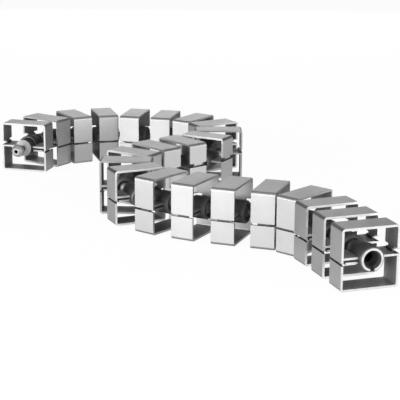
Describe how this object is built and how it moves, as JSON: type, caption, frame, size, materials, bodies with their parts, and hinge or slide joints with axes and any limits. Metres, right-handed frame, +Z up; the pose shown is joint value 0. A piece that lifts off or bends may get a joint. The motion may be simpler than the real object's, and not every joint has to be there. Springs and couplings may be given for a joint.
{
  "type": "flexible cable duct",
  "caption": "Flexible cable duct: open-ended sleeves snapped into a bending chain by balls and sockets, with an upper and a lower cable channel reached through side slits.",
  "frame": {"origin": "on the floor under the middle of the outline of the chain as it lies", "axes": "+Z up from the floor, +Y along the longest extent from the socket end towards the first bend, +X to the right"},
  "size_m": [0.3358, 0.4484, 0.0465],
  "materials": {
    "duct": "satin silver-grey moulded plastic"
  },
  "bodies": {
    "link_01": {"link_01": "duct"},
    "link_02": {"link_02": "duct"},
    "link_03": {"link_03": "duct"},
    "link_04": {"link_04": "duct"},
    "link_05": {"link_05": "duct"},
    "link_06": {"link_06": "duct"},
    "link_07": {"link_07": "duct"},
    "link_08": {"link_08": "duct"},
    "link_09": {"link_09": "duct"},
    "link_10": {"link_10": "duct"},
    "link_11": {"link_11": "duct"},
    "link_12": {"link_12": "duct"},
    "link_13": {"link_13": "duct"},
    "link_14": {"link_14": "duct"},
    "link_15": {"link_15": "duct"},
    "link_16": {"link_16": "duct"},
    "link_17": {"link_17": "duct"},
    "link_18": {"link_18": "duct"},
    "link_19": {"link_19": "duct"},
    "link_20": {"link_20": "duct"},
    "link_21": {"link_21": "duct"},
    "link_22": {"link_22": "duct"},
    "link_23": {"link_23": "duct"}
  },
  "joints": [
    {"name": "bend_01", "type": "hinge", "parent": "link_01", "child": "link_02", "pos_m": [-0.1416, 0.15096, 0.02325], "axis": [0, 0, -1], "range_deg": [-50.88, 13.12]},
    {"name": "bend_02", "type": "hinge", "parent": "link_02", "child": "link_03", "pos_m": [-0.12375, 0.17754, 0.02325], "axis": [0, 0, 1], "range_deg": [-5.44, 58.56]},
    {"name": "bend_03", "type": "hinge", "parent": "link_03", "child": "link_04", "pos_m": [-0.09591, 0.19333, 0.02325], "axis": [0, 0, -1], "range_deg": [-45.76, 18.24]},
    {"name": "bend_04", "type": "hinge", "parent": "link_04", "child": "link_05", "pos_m": [-0.06511, 0.20204, 0.02325], "axis": [0, 0, 1], "range_deg": [-4.16, 59.84]},
    {"name": "bend_05", "type": "hinge", "parent": "link_05", "child": "link_06", "pos_m": [-0.03381, 0.19537, 0.02325], "axis": [0, 0, -1], "range_deg": [-32.96, 31.04]},
    {"name": "bend_06", "type": "hinge", "parent": "link_06", "child": "link_07", "pos_m": [-0.00262, 0.18817, 0.02325], "axis": [0, 0, 1], "range_deg": [-12.48, 51.52]},
    {"name": "bend_07", "type": "hinge", "parent": "link_07", "child": "link_08", "pos_m": [0.02436, 0.17096, 0.02325], "axis": [0, 0, -1], "range_deg": [-57.6, 6.4]},
    {"name": "bend_08", "type": "hinge", "parent": "link_08", "child": "link_09", "pos_m": [0.04127, 0.14378, 0.02325], "axis": [0, 0, 1], "range_deg": [-1.92, 62.08]},
    {"name": "bend_09", "type": "hinge", "parent": "link_09", "child": "link_10", "pos_m": [0.04227, 0.11179, 0.02325], "axis": [0, 0, -1], "range_deg": [-62.4, 1.6]},
    {"name": "bend_10", "type": "hinge", "parent": "link_10", "child": "link_11", "pos_m": [0.02695, 0.08369, 0.02325], "axis": [0, 0, 1], "range_deg": [-11.2, 52.8]},
    {"name": "bend_11", "type": "hinge", "parent": "link_11", "child": "link_12", "pos_m": [0.00265, 0.06286, 0.02325], "axis": [0, 0, -1], "range_deg": [-29.12, 34.88]},
    {"name": "bend_12", "type": "hinge", "parent": "link_12", "child": "link_13", "pos_m": [-0.02058, 0.04083, 0.02325], "axis": [0, 0, 1], "range_deg": [-47.36, 16.64]},
    {"name": "bend_13", "type": "hinge", "parent": "link_13", "child": "link_14", "pos_m": [-0.03714, 0.01344, 0.02325], "axis": [0, 0, -1], "range_deg": [-2.24, 61.76]},
    {"name": "bend_14", "type": "hinge", "parent": "link_14", "child": "link_15", "pos_m": [-0.03792, -0.01855, 0.02325], "axis": [0, 0, 1], "range_deg": [-57.92, 6.08]},
    {"name": "bend_15", "type": "hinge", "parent": "link_15", "child": "link_16", "pos_m": [-0.02464, -0.04768, 0.02325], "axis": [0, 0, -1], "range_deg": [-4.8, 59.2]},
    {"name": "bend_16", "type": "hinge", "parent": "link_16", "child": "link_17", "pos_m": [0.00049, -0.0675, 0.02325], "axis": [0, 0, 1], "range_deg": [-42.56, 21.44]},
    {"name": "bend_17", "type": "hinge", "parent": "link_17", "child": "link_18", "pos_m": [0.02882, -0.08239, 0.02325], "axis": [0, 0, -1], "range_deg": [-24.96, 39.04]},
    {"name": "bend_18", "type": "hinge", "parent": "link_18", "child": "link_19", "pos_m": [0.05877, -0.0937, 0.02325], "axis": [0, 0, 1], "range_deg": [-34.24, 29.76]},
    {"name": "bend_19", "type": "hinge", "parent": "link_19", "child": "link_20", "pos_m": [0.08913, -0.10382, 0.02325], "axis": [0, 0, -1], "range_deg": [-55.36, 8.64]},
    {"name": "bend_20", "type": "hinge", "parent": "link_20", "child": "link_21", "pos_m": [0.11299, -0.12515, 0.02325], "axis": [0, 0, 1], "range_deg": [-5.76, 58.24]},
    {"name": "bend_21", "type": "hinge", "parent": "link_21", "child": "link_22", "pos_m": [0.12496, -0.15484, 0.02325], "axis": [0, 0, -1], "range_deg": [-34.24, 29.76]},
    {"name": "bend_22", "type": "hinge", "parent": "link_22", "child": "link_23", "pos_m": [0.13576, -0.18497, 0.02325], "axis": [0, 0, 1], "range_deg": [-31.04, 32.96]}
  ]
}
